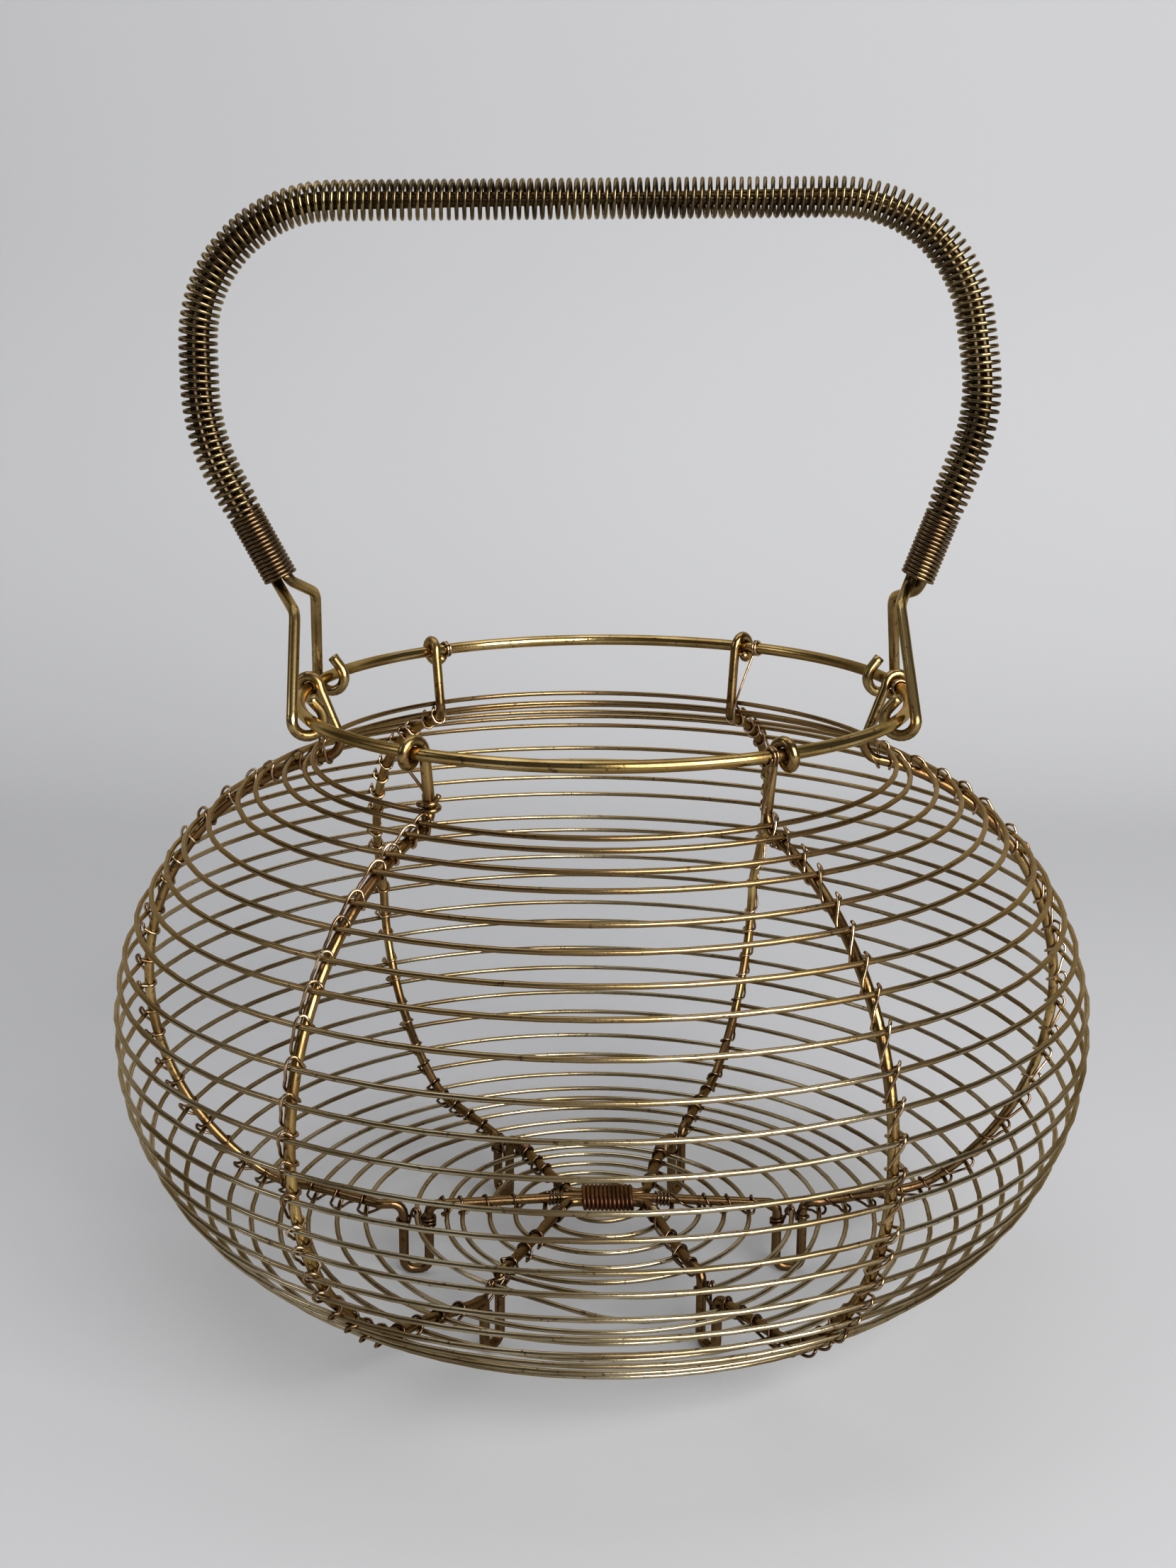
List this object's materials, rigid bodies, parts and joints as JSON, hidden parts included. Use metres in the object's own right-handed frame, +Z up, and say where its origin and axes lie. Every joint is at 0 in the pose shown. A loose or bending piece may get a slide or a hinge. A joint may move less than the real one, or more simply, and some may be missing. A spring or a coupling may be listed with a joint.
{
  "type": "wire basket",
  "caption": "Round-bellied wire basket: a spiral of hoops bound to ribs that form the feet, a rim ring, and a high arched handle with a spring grip hooked on the rim.",
  "frame": {"origin": "middle of the basket on the surface that its feet stand on", "axes": "+Z up, +X towards the handle's right end, so the handle's arch lies in the XZ plane and -Y is the front"},
  "size_m": [0.2928, 0.2937, 0.3353],
  "materials": {
    "rim_brass": "golden brass with pale streaks",
    "rib_brass": "golden to reddish brown patina",
    "hoop_brass": "greyish brass with brown spots",
    "winding_copper": "reddish copper brown",
    "binding_copper": "thin copper brown wire with bright glints",
    "handle_brass": "golden brass",
    "grip_brass": "dark bronzed brass with gold glints"
  },
  "bodies": {
    "basket": {"rim_ring": "rim_brass", "rib_wire_side": "rib_brass", "rib_wire_front": "rib_brass", "rib_wire_back": "rib_brass", "hoop_wire_base": "hoop_brass", "hoop_wire_bowl": "hoop_brass", "hoop_wire_low_belly": "hoop_brass", "hoop_wire_high_belly": "hoop_brass", "hoop_wire_shoulder": "hoop_brass", "hoop_wire_neck": "hoop_brass", "base_winding": "winding_copper", "binding_wire_right": "binding_copper", "binding_wire_back_right": "binding_copper", "binding_wire_back_left": "binding_copper", "binding_wire_left": "binding_copper", "binding_wire_front_left": "binding_copper", "binding_wire_front_right": "binding_copper"},
    "handle": {"handle_wire_front": "handle_brass", "handle_wire_back": "handle_brass", "grip_spring": "grip_brass"}
  },
  "joints": [
    {"name": "handle_rock", "type": "hinge", "parent": "basket", "child": "handle", "pos_m": [0, 0, 0.187], "axis": [1, 0, 0], "range_deg": [-2.2, 2.2]}
  ]
}
